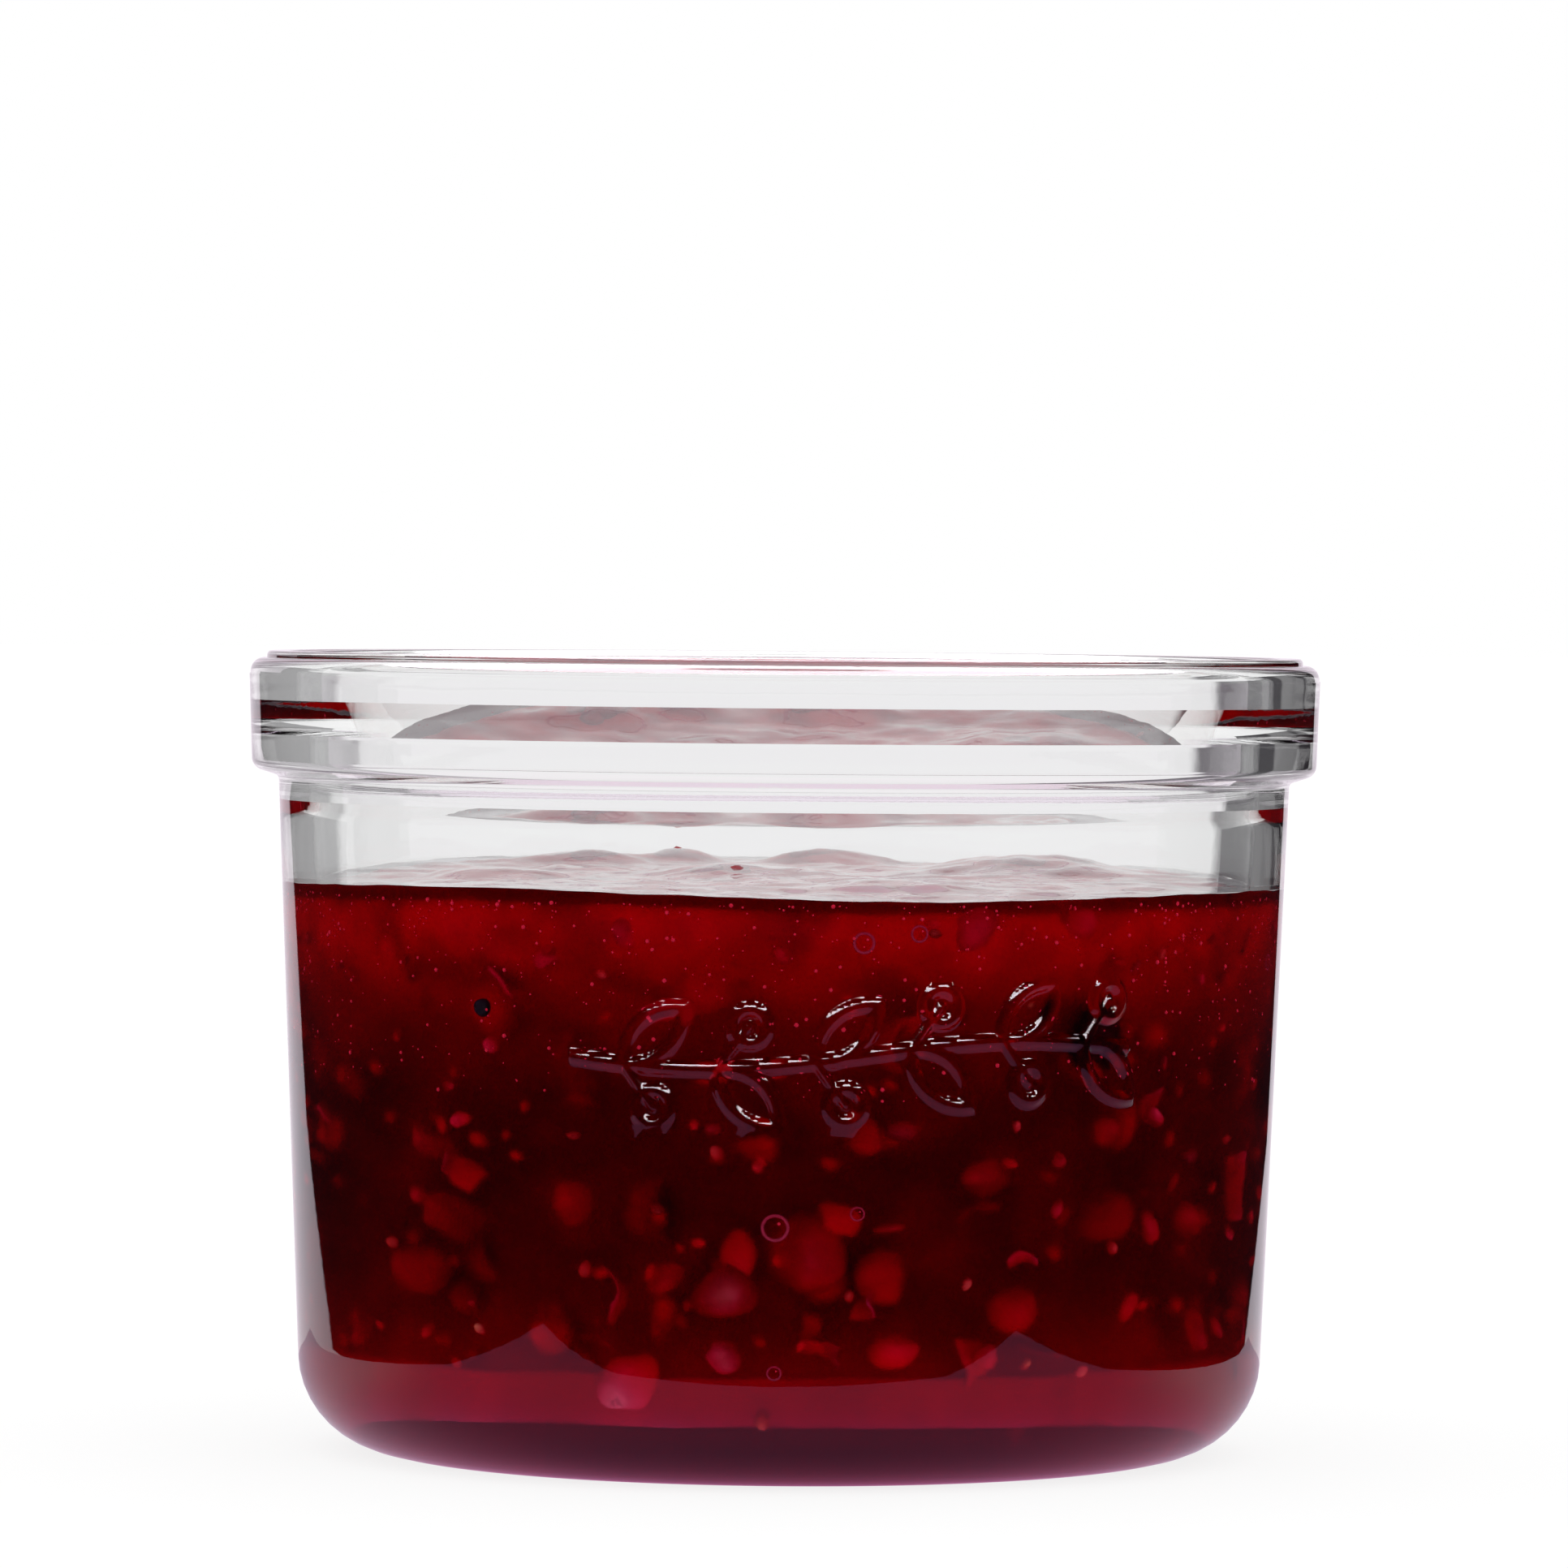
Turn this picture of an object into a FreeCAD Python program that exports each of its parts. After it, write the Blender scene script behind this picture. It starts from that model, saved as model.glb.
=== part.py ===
"""Low, wide glass preserving jar for a clip-on lid, filled with red fruit jam.

The jar stands open on the XY plane with its axis on +Z and its origin at the
centre of the base. It is pressed glass: a thick collar for the lid clip, a
raised sealing bead, a stepped mouth with a conical seat for the lid, a
tapered body and a large round heel. The jam fills the body to the wall.
"""
import FreeCAD, Part
import math
import os

Vector = FreeCAD.Vector

# Overall sizes of the jar, millimetres
JAR_HEIGHT = 64.0
COLLAR_RADIUS = 43.0
COLLAR_HEIGHT = 9.3
COLLAR_WALL = 3.9
COLLAR_OVERHANG = 2.4

# Body wall: slope of the outside and of the inside from vertical, degrees
OUTER_DRAFT = 2.35
INNER_DRAFT = 3.8
HEEL_RADIUS = 7.8

# Collar: it leans out slightly towards the top and is undercut for the clip
COLLAR_DRAFT = 1.6
COLLAR_UNDERCUT = 18.0
COLLAR_EDGE_RADIUS = 1.0
NECK_FILLET = 0.5
SHOULDER_RADIUS = 1.1

# Ring left on the collar where the two halves of the press mould meet
SEAM_DEPTH = 1.8
SEAM_STEP = 0.08

# Raised bead that the lid's gasket presses on
BEAD_HEIGHT = 0.55
BEAD_EDGE_RADIUS = 0.35
SHOULDER_WIDTH = 1.4
MOUTH_EDGE_RADIUS = 0.9

# Conical seat for the lid inside the mouth, with depths below the rim
SEAT_TOP_DEPTH = 3.8
SEAT_BOTTOM_DEPTH = 6.5
SEAT_SLOPE = 18.0

# Small step under the collar, which eases into the body wall
STEP_DEPTH = 11.8
STEP_SLOPE = 10.5
STEP_LENGTH = 1.1
STEP_EASE_RADIUS = 18.0

# Base: the jar rests on a ring, and the middle is pushed up
BASE_THICKNESS = 4.2
PUSH_UP = 1.0
PUSH_UP_SLOPE_WIDTH = 4.0
REST_RING_WIDTH = 5.0
PUSH_UP_ROUNDING = 4.0
REST_RING_ROUNDING = 2.0
FLOOR_CROWN = 0.6
INNER_HEEL_RADIUS = 7.0

# Jam: mean depth of its surface below the rim, its swell and its fruit
JAM_DEPTH = 18.0
SWELL_HEIGHT = 0.35
SWELL_LENGTH = 13.0
SWELL_GRID = 9

# Fruit that breaks the surface: bearing round the axis in degrees, gap to the
# wall, radius seen from above and rise
SURFACE_FRUIT = [
    (123, 3.0, 4.6, 0.9),
    (108, 4.0, 3.8, 0.8),
    (82, 4.0, 4.8, 0.9),
    (24, 7.0, 8.0, 1.1),
    (182, 9.5, 5.2, 0.8),
    (153, 27.0, 5.6, 0.7),
    (293, 13.0, 5.0, 0.6),
]
FRUIT_SUNK = 0.5


def slope(angle):
    """Change of radius for each millimetre of height."""
    return math.tan(math.radians(angle))


def corner_arc(before, corner, after, radius):
    """Tangent arc that rounds one corner of an outline."""
    back = (before - corner).normalize()
    ahead = (after - corner).normalize()
    half_angle = back.getAngle(ahead) / 2
    reach = radius / math.tan(half_angle)
    centre = corner + (back + ahead).normalize() * (radius / math.sin(half_angle))
    middle = centre + (corner - centre).normalize() * radius
    return Part.Arc(corner + back * reach, middle, corner + ahead * reach)


def revolved(outline):
    """Solid of revolution from (radius, height, rounding) corners, both ends on the axis."""
    points = [Vector(radius, 0, height) for radius, height, rounding in outline]
    edges = []
    start = points[0]
    for index in range(1, len(points) - 1):
        rounding = outline[index][2]
        end = points[index]
        if rounding > 0:
            arc = corner_arc(points[index - 1], points[index], points[index + 1], rounding)
            edges.append(Part.LineSegment(start, arc.StartPoint).toShape())
            edges.append(arc.toShape())
            start = arc.EndPoint
        else:
            edges.append(Part.LineSegment(start, end).toShape())
            start = end
    edges.append(Part.LineSegment(start, points[-1]).toShape())
    edges.append(Part.LineSegment(points[-1], points[0]).toShape())
    profile = Part.Face(Part.Wire(edges))
    return profile.revolve(Vector(0, 0, 0), Vector(0, 0, 1), 360)


def outer_outline():
    """Outside of the jar, from the middle of the base up to the sealing bead."""
    collar_bottom = JAR_HEIGHT - COLLAR_HEIGHT
    collar_foot_radius = COLLAR_RADIUS - COLLAR_HEIGHT * slope(COLLAR_DRAFT)
    neck_radius = COLLAR_RADIUS - COLLAR_OVERHANG
    undercut_rise = (collar_foot_radius - neck_radius) * slope(COLLAR_UNDERCUT)
    neck_height = collar_bottom - undercut_rise
    shoulder_height = JAR_HEIGHT - BEAD_HEIGHT
    bead_radius = COLLAR_RADIUS - SHOULDER_WIDTH
    seam_height = JAR_HEIGHT - SEAM_DEPTH
    base_radius = neck_radius - neck_height * slope(OUTER_DRAFT)
    rest_ring_radius = base_radius - HEEL_RADIUS - REST_RING_WIDTH
    return [
        (0, PUSH_UP, 0),
        (rest_ring_radius - PUSH_UP_SLOPE_WIDTH, PUSH_UP, PUSH_UP_ROUNDING),
        (rest_ring_radius, 0, REST_RING_ROUNDING),
        (base_radius, 0, HEEL_RADIUS),
        (neck_radius, neck_height, NECK_FILLET),
        (collar_foot_radius, collar_bottom, COLLAR_EDGE_RADIUS),
        (COLLAR_RADIUS, seam_height, 0),
        (COLLAR_RADIUS - SEAM_STEP, seam_height, 0),
        (COLLAR_RADIUS - SEAM_STEP, shoulder_height, SHOULDER_RADIUS),
        (bead_radius, shoulder_height, 0),
        (bead_radius, JAR_HEIGHT, BEAD_EDGE_RADIUS),
    ]


def inner_outline():
    """Inside of the jar, from the mouth down to the middle of the floor."""
    mouth_radius = COLLAR_RADIUS - COLLAR_WALL
    seat_radius = mouth_radius - (SEAT_BOTTOM_DEPTH - SEAT_TOP_DEPTH) * slope(SEAT_SLOPE)
    wall_top_radius = seat_radius - STEP_LENGTH * slope(STEP_SLOPE)
    wall_top = JAR_HEIGHT - STEP_DEPTH - STEP_LENGTH
    floor_height = PUSH_UP + BASE_THICKNESS - FLOOR_CROWN
    floor_radius = wall_top_radius - (wall_top - floor_height) * slope(INNER_DRAFT)
    return [
        (mouth_radius, JAR_HEIGHT, MOUTH_EDGE_RADIUS),
        (mouth_radius, JAR_HEIGHT - SEAT_TOP_DEPTH, 0),
        (seat_radius, JAR_HEIGHT - SEAT_BOTTOM_DEPTH, 0),
        (seat_radius, JAR_HEIGHT - STEP_DEPTH, 0),
        (wall_top_radius, wall_top, STEP_EASE_RADIUS),
        (floor_radius, floor_height, INNER_HEEL_RADIUS),
        (0, floor_height + FLOOR_CROWN, 0),
    ]


def wall_radius(height):
    """Inner radius of the tapered body wall at a height above the table."""
    wall_top_radius, wall_top = inner_outline()[4][:2]
    return wall_top_radius - (wall_top - height) * slope(INNER_DRAFT)


def make_glass():
    return revolved(outer_outline() + inner_outline())


def make_cavity():
    """Everything inside the jar up to the rim, without the rounded mouth edge."""
    mouth, *inside = inner_outline()
    return revolved([(0, mouth[1], 0), (mouth[0], mouth[1], 0)] + inside)


def jam_height(x, y):
    """Gently uneven surface of spooned jam."""
    swell = math.sin(x / SWELL_LENGTH + 0.6) * math.cos(y / SWELL_LENGTH - 0.4)
    return JAR_HEIGHT - JAM_DEPTH + SWELL_HEIGHT * swell


def make_jam_below_surface():
    """Block under the swelling surface, wider than the jar."""
    steps = [COLLAR_RADIUS * (2 * index / (SWELL_GRID - 1) - 1) for index in range(SWELL_GRID)]
    grid = [[Vector(x, y, jam_height(x, y)) for y in steps] for x in steps]
    surface = Part.BSplineSurface()
    surface.interpolate(grid)
    return surface.toShape().extrude(Vector(0, 0, -JAR_HEIGHT))


def make_surface_fruit(bearing, wall_gap, radius, rise):
    """Round fruit that stands out of the jam by its rise, as a sphere's cap."""
    distance = wall_radius(JAR_HEIGHT - JAM_DEPTH) - wall_gap - radius
    x = distance * math.cos(math.radians(bearing))
    y = distance * math.sin(math.radians(bearing))
    sphere_radius = (radius ** 2 + rise ** 2) / (2 * rise)
    cap_bottom = sphere_radius - rise - FRUIT_SUNK
    cap_latitude = math.degrees(math.asin(cap_bottom / sphere_radius))
    centre = Vector(x, y, jam_height(x, y) + rise - sphere_radius)
    return Part.makeSphere(sphere_radius, centre, Vector(0, 0, 1), cap_latitude, 90)


def make_jam():
    jam = make_cavity().common(make_jam_below_surface())
    for fruit in SURFACE_FRUIT:
        jam = jam.fuse(make_surface_fruit(*fruit))
    return jam.removeSplitter()


def save(name, shape):
    solids = shape.Solids
    if len(solids) != 1 or not solids[0].isValid():
        raise RuntimeError(f"{name} is not one valid solid")
    solids[0].exportStep(f"parts/{name}.step")
    print(name, round(solids[0].Volume / 1000, 1), "ml", len(solids[0].Faces), "faces")


os.makedirs("parts", exist_ok=True)
save("glass_jar", make_glass())
save("fruit_jam", make_jam())
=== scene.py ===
import math
import random

import bpy
import numpy as np
from bpy.props import FloatProperty, FloatVectorProperty, IntProperty, PointerProperty
from mathutils import Euler, Matrix, Vector, noise


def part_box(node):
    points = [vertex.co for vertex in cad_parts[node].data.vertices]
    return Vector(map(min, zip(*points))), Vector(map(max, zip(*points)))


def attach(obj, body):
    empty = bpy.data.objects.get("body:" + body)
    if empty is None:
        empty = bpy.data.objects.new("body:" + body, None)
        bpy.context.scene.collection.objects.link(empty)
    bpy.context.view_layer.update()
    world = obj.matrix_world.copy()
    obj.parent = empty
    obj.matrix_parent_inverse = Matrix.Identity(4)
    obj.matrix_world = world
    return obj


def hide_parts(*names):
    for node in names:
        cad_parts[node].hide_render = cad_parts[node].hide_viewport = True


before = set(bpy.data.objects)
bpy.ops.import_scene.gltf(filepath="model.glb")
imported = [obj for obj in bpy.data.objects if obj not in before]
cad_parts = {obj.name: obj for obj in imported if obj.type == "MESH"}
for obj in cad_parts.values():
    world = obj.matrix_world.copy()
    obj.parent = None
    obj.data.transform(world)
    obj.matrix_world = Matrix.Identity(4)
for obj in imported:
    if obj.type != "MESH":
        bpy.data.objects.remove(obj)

bl_info = {
    "name": "Jar of fruit jam",
    "version": (1, 0, 0),
    "blender": (4, 5, 0),
    "location": "3D View > Sidebar > Jam Jar",
    "description": "Builds a pressed glass preserving jar filled with red fruit jam",
    "category": "Object",
}


MM = 0.001
DEGREE = math.radians(1)
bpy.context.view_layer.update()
GLASS_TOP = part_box("glass_jar")[1]

# How finely the round pieces are divided
SPIN_STEPS = 240
ARC_STEP = 9 * DEGREE
STRAIGHT_STEP = 1.6 * MM
WELD = 0.0005 * MM


# ---- sizes and colours

def length(name, description, default):
    return FloatProperty(name=name, description=description, default=default, unit="LENGTH", precision=5)


def angle(name, description, default):
    return FloatProperty(name=name, description=description, default=math.radians(default), subtype="ANGLE")


def amount(name, description, default):
    return FloatProperty(name=name, description=description, default=default)


def count(name, description, default):
    return IntProperty(name=name, description=description, default=default, min=0)


def colour(name, description, default):
    return FloatVectorProperty(name=name, description=description, default=default, subtype="COLOR", size=3)


class JarSizes(bpy.types.PropertyGroup):
    """Sizes of the pressed glass jar."""

    height: length("Height", "Base to sealing bead", GLASS_TOP.z)
    collar_radius: length("Collar radius", "Widest radius, at the collar", GLASS_TOP.x)
    collar_height: length("Collar height", "Height of the clip collar", 9.3 * MM)
    collar_wall: length("Collar wall", "Glass at the mouth, from the collar's face", 3.7 * MM)
    collar_overhang: length("Collar overhang", "How far the collar stands out of the neck", 2.4 * MM)
    collar_draft: angle("Collar draft", "Outward lean of the collar's face", 1.6)
    collar_undercut: angle("Collar undercut", "Slope under the collar", 18)
    collar_edge: length("Collar edge", "Rounding of the collar's lower edge", 1.0 * MM)
    neck_fillet: length("Neck fillet", "Rounding between neck and collar", 0.5 * MM)
    shoulder_rounding: length("Shoulder rounding", "Rounding of the collar's upper edge", 1.1 * MM)
    seam_depth: length("Seam depth", "Mould ring below the rim", 1.8 * MM)
    seam_step: length("Seam step", "Step at the mould ring", 0.08 * MM)
    bead_height: length("Bead height", "Height of the sealing bead", 0.55 * MM)
    bead_edge: length("Bead edge", "Rounding of the bead's outer edge", 0.35 * MM)
    shoulder_width: length("Shoulder width", "Ledge outside the bead", 1.4 * MM)
    mouth_edge: length("Mouth edge", "Rounding of the mouth", 0.9 * MM)
    outer_draft: angle("Outer draft", "Slope of the outside of the body", 2.35)
    inner_draft: angle("Inner draft", "Slope of the inside of the body", 3.8)
    heel_radius: length("Heel radius", "Rounding from the body to the base", 7.8 * MM)
    seat_top_depth: length("Seat top depth", "Top of the lid seat below the rim", 3.8 * MM)
    seat_bottom_depth: length("Seat bottom depth", "Foot of the lid seat below the rim", 6.5 * MM)
    seat_slope: angle("Seat slope", "Cone angle of the lid seat", 22)
    step_depth: length("Step depth", "Small step below the rim", 11.8 * MM)
    step_slope: angle("Step slope", "Slope of the small step", 10.5)
    step_length: length("Step length", "Height of the small step", 1.1 * MM)
    step_ease: length("Step easing", "Rounding below the small step", 8 * MM)
    base_thickness: length("Base thickness", "Glass under the jam", 4.2 * MM)
    push_up: length("Push-up", "Rise of the middle of the base", 1.0 * MM)
    push_up_width: length("Push-up slope", "Width of the slope round the push-up", 4 * MM)
    rest_ring_width: length("Rest ring", "Width of the ring that the jar stands on", 5 * MM)
    push_up_rounding: length("Push-up rounding", "Rounding at the top of the slope", 4 * MM)
    rest_ring_rounding: length("Rest ring rounding", "Rounding at the foot of the slope", 2 * MM)
    floor_crown: length("Floor crown", "Rise of the middle of the inner floor", 0.6 * MM)
    inner_heel: length("Inner heel", "Rounding from the wall to the inner floor", 7 * MM)
    relief_height: length("Relief height", "How far the pressed sprig stands out", 0.45 * MM)


class JamSettings(bpy.types.PropertyGroup):
    """Sizes, amounts and colours of the jam."""

    depth: length("Depth below rim", "Mean depth of the jam's surface", 18.2 * MM)
    wall_overlap: length("Wall overlap", "How far the jam reaches into the wall", 0.1 * MM)
    core_inset: length("Core inset", "Clear jelly between the wall and the dense core", 9 * MM)
    berry_count: count("Berry pieces", "Pieces of berry near the wall", 155)
    seed_count: count("Seeds", "Seeds near the wall", 280)
    skin_count: count("Skins", "Curled skins near the wall", 90)
    # Each fine bubble is drawn as a painted glint: a small matt red bead set in the glass
    bubble_count: count("Bubbles", "Fine bubbles below the surface", 1500)
    jelly_density: amount("Jelly density", "Absorption of the strongest colour, per metre", 1300)
    jelly_colour: colour("Jelly", "Light that the jelly lets through", (0.972, 0.0, 0.5))
    # The core's top and bottom colours are painted light: lighter just below the surface for light from
    # above, and lighter towards the base for light from the table
    core_top_painted_light: colour("Core top", "Dense fruit just below the surface", (0.78, 0.015, 0.03))
    core_middle: colour("Core middle", "Dense fruit in the middle", (0.15, 0.002, 0.006))
    core_bottom_painted_light: colour("Core bottom", "Dense fruit near the base", (0.3, 0.005, 0.03))
    # The base glow is painted light: the core glows red near the base as if lit by the table, though it is
    # no lamp
    painted_base_glow: colour("Base glow", "Light that the base gathers behind the heel", (0.088, 0.002, 0.015))
    berry_dark: colour("Dark berry", "Darkest berry pieces", (0.2, 0.004, 0.02))
    berry_ripe: colour("Ripe berry", "Usual berry pieces", (0.4, 0.01, 0.02))
    berry_pale: colour("Pale berry", "Palest berry pieces", (0.8, 0.06, 0.14))


class StudioSettings(bpy.types.PropertyGroup):
    """Camera, floor and light."""

    camera_distance: length("Camera distance", "From the jar's axis", 740 * MM)
    camera_height: length("Camera height", "Above the floor", 69 * MM)
    camera_pitch: angle("Camera pitch", "Downward tilt", 1.194)
    camera_roll: angle("Camera roll", "Tilt about the line of sight", 0.5)
    camera_lens: amount("Lens", "Focal length in millimetres on a 36 mm frame", 211.2)
    floor_colour: colour("Floor", "Colour of the studio floor", (0.86, 0.86, 0.86))
    ambient: amount("Ambient light", "Level of the room's soft light", 0.95)


def jar():
    return bpy.context.scene.jar_sizes


def jam():
    return bpy.context.scene.jam_settings


def studio():
    return bpy.context.scene.studio_settings


# ---- outlines

def corner_arc(before, corner, after, radius):
    """Points of the tangent arc that rounds one corner of an outline."""
    back = (before - corner).normalized()
    ahead = (after - corner).normalized()
    half_angle = back.angle(ahead) / 2
    centre = corner + (back + ahead).normalized() * (radius / math.sin(half_angle))
    start = corner + back * (radius / math.tan(half_angle)) - centre
    end = corner + ahead * (radius / math.tan(half_angle)) - centre
    start_angle = math.atan2(start.y, start.x)
    turn = (math.atan2(end.y, end.x) - start_angle + math.pi) % math.tau - math.pi
    steps = max(3, math.ceil(abs(turn) / ARC_STEP))
    angles = [start_angle + turn * step / steps for step in range(steps + 1)]
    return [centre + radius * Vector((math.cos(each), math.sin(each))) for each in angles]


def rounded_outline(corners):
    """(radius, height) points along an outline of (radius, height, rounding) corners."""
    points = [Vector(corner[:2]) for corner in corners]
    outline = [points[0]]
    for index in range(1, len(points)):
        rounding = corners[index][2] if index + 1 < len(points) else 0
        if rounding > 0:
            stretch = corner_arc(points[index - 1], points[index], points[index + 1], rounding)
        else:
            stretch = [points[index]]
        start = outline[-1]
        parts = math.ceil((stretch[0] - start).length / STRAIGHT_STEP)
        outline += [start.lerp(stretch[0], part / parts) for part in range(1, parts)]
        outline += stretch
    return outline


def neck_height():
    """Height at which the body's outside meets the slope under the collar."""
    j = jar()
    overhang_at_foot = j.collar_overhang - j.collar_height * math.tan(j.collar_draft)
    return j.height - j.collar_height - overhang_at_foot * math.tan(j.collar_undercut)


def outer_wall_radius(height):
    """Outer radius of the tapered body."""
    neck_radius = jar().collar_radius - jar().collar_overhang
    return neck_radius - (neck_height() - height) * math.tan(jar().outer_draft)


def outer_corners():
    """Outside of the jar, from the middle of the base up to the sealing bead."""
    j = jar()
    foot_radius = j.collar_radius - j.collar_height * math.tan(j.collar_draft)
    collar_bottom = j.height - j.collar_height
    base_radius = outer_wall_radius(0)
    rest_ring = base_radius - j.heel_radius - j.rest_ring_width
    shoulder = j.height - j.bead_height
    seam = j.height - j.seam_depth
    bead_radius = j.collar_radius - j.shoulder_width
    return [
        (0, j.push_up, 0),
        (rest_ring - j.push_up_width, j.push_up, j.push_up_rounding),
        (rest_ring, 0, j.rest_ring_rounding),
        (base_radius, 0, j.heel_radius),
        (outer_wall_radius(neck_height()), neck_height(), j.neck_fillet),
        (foot_radius, collar_bottom, j.collar_edge),
        (j.collar_radius, seam, 0),
        (j.collar_radius - j.seam_step, seam, 0),
        (j.collar_radius - j.seam_step, shoulder, j.shoulder_rounding),
        (bead_radius, shoulder, 0),
        (bead_radius, j.height, j.bead_edge),
    ]


def inner_corners():
    """Inside of the jar, from the mouth down to the middle of the floor."""
    j = jar()
    mouth_radius = j.collar_radius - j.collar_wall
    seat_drop = j.seat_bottom_depth - j.seat_top_depth
    seat_radius = mouth_radius - seat_drop * math.tan(j.seat_slope)
    wall_top_radius = seat_radius - j.step_length * math.tan(j.step_slope)
    wall_top = j.height - j.step_depth - j.step_length
    floor = j.push_up + j.base_thickness - j.floor_crown
    floor_radius = wall_top_radius - (wall_top - floor) * math.tan(j.inner_draft)
    return [
        (mouth_radius, j.height, j.mouth_edge),
        (mouth_radius, j.height - j.seat_top_depth, 0),
        (seat_radius, j.height - j.seat_bottom_depth, 0),
        (seat_radius, j.height - j.step_depth, 0),
        (wall_top_radius, wall_top, j.step_ease),
        (floor_radius, floor, j.inner_heel),
        (0, floor + j.floor_crown, 0),
    ]


def radius_on(outline, height):
    """Radius at which an outline that runs up or down passes a height."""
    for low, high in zip(outline, outline[1:]):
        if (low.y - height) * (high.y - height) <= 0 and low.y != high.y:
            return low.x + (high.x - low.x) * (height - low.y) / (high.y - low.y)
    raise ValueError(f"the outline doesn't pass the height {height}")


def jam_level():
    """Mean height of the jam's surface."""
    return jar().height - jam().depth


def jam_outline(inset):
    """Inside of the wall from the middle of the floor up to the jam's level, moved inwards by the inset."""
    tapered_wall = inner_corners()[4:]
    wall = rounded_outline(tapered_wall)
    level = jam_level()
    below = [point for point in reversed(wall) if point.y < level - STRAIGHT_STEP / 2]
    outline = below + [Vector((radius_on(wall, level), level))]
    moved = []
    for index, point in enumerate(outline):
        before = outline[max(index - 1, 0)]
        after = outline[min(index + 1, len(outline) - 1)]
        along = (after - before).normalized()
        moved.append(Vector((max(point.x - along.y * inset, 0), point.y + along.x * inset)))
    moved[0].x = 0
    moved[-1].y = level
    return moved


def jam_height(x, y):
    """Height of the jam's gently uneven surface."""
    swell_length = 13 * MM
    swell_height = 0.35 * MM
    swell = math.sin(x / swell_length + 0.6) * math.cos(y / swell_length - 0.4)
    return jam_level() + swell_height * swell


# ---- mesh tools

def begin(add, **options):
    """Adds a primitive with nothing else selected, and opens it in edit mode with all of it selected."""
    bpy.ops.object.select_all(action="DESELECT")
    add(**options)
    bpy.ops.object.mode_set(mode="EDIT")
    bpy.ops.mesh.select_mode(type="VERT")
    bpy.ops.mesh.select_all(action="SELECT")
    return bpy.context.object


def end_edit():
    bpy.ops.object.mode_set(mode="OBJECT")


def spun(name, outline):
    """Closed piece of revolution from (radius, height) points whose ends lie on the axis."""
    piece = begin(bpy.ops.mesh.primitive_plane_add, size=MM)
    piece.name = name
    bpy.ops.mesh.merge(type="CENTER")
    bpy.ops.transform.translate(value=(outline[0].x, 0, outline[0].y))
    for before, after in zip(outline, outline[1:]):
        step = after - before
        bpy.ops.mesh.extrude_region_move(TRANSFORM_OT_translate={"value": (step.x, 0, step.y)})
    bpy.ops.mesh.select_all(action="SELECT")
    bpy.ops.mesh.spin(steps=SPIN_STEPS, angle=math.tau, center=(0, 0, 0), axis=(0, 0, 1))
    bpy.ops.mesh.select_all(action="SELECT")
    bpy.ops.mesh.remove_doubles(threshold=WELD)
    bpy.ops.mesh.normals_make_consistent(inside=False)
    end_edit()
    return piece


def points_of(piece):
    """A piece's vertices as an array."""
    points = np.empty(len(piece.data.vertices) * 3)
    piece.data.vertices.foreach_get("co", points)
    return points.reshape(-1, 3)


def move_points(piece, points):
    piece.data.vertices.foreach_set("co", np.asarray(points).ravel())
    piece.data.update()


def smooth(piece, sharp_angle):
    """Smooth shading, but for edges that turn by more than an angle in degrees."""
    bpy.ops.object.select_all(action="DESELECT")
    bpy.context.view_layer.objects.active = piece
    piece.select_set(True)
    bpy.ops.object.shade_smooth_by_angle(angle=math.radians(sharp_angle))


def finish_piece(piece, slot, *materials):
    """Gives a piece its materials and its place in the frame."""
    for material in materials:
        piece.data.materials.append(material)
    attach(piece, "root")


def assign_faces(piece, material_index, chosen):
    """Gives a material slot to the faces for which chosen(centre, normal) is true."""
    for face in piece.data.polygons:
        if chosen(face.center, face.normal):
            face.material_index = material_index


# ---- shader tools

def arithmetic(operation, reflected=False):
    """Method that adds a Math node for one of Python's operators."""
    def method(self, other):
        values = (other, self) if reflected else (self, other)
        return self.maths(operation, *values)
    return method


class Wire:
    """An output socket that takes part in Python arithmetic by adding Math nodes."""

    __add__ = arithmetic("ADD")
    __radd__ = arithmetic("ADD", reflected=True)
    __sub__ = arithmetic("SUBTRACT")
    __rsub__ = arithmetic("SUBTRACT", reflected=True)
    __mul__ = arithmetic("MULTIPLY")
    __rmul__ = arithmetic("MULTIPLY", reflected=True)
    __gt__ = arithmetic("GREATER_THAN")
    __lt__ = arithmetic("LESS_THAN")
    at_least = arithmetic("MAXIMUM")
    at_most = arithmetic("MINIMUM")

    def __init__(self, tree, socket):
        self.tree = tree
        self.socket = socket

    def maths(self, operation, *values):
        return self.tree.node("ShaderNodeMath", {"operation": operation}, dict(enumerate(values)))

    def rise(self, low, high):
        """0 below low, 1 above high, and a smooth change between them."""
        settings = {"interpolation_type": "SMOOTHSTEP", "clamp": True}
        inputs = {"Value": self, "From Min": low, "From Max": high}
        return self.tree.node("ShaderNodeMapRange", settings, inputs)

    def band(self, low, high, soft):
        """1 between low and high, with edges as wide as soft."""
        return self.rise(low, low + soft) * (1 - self.rise(high - soft, high))


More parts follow.
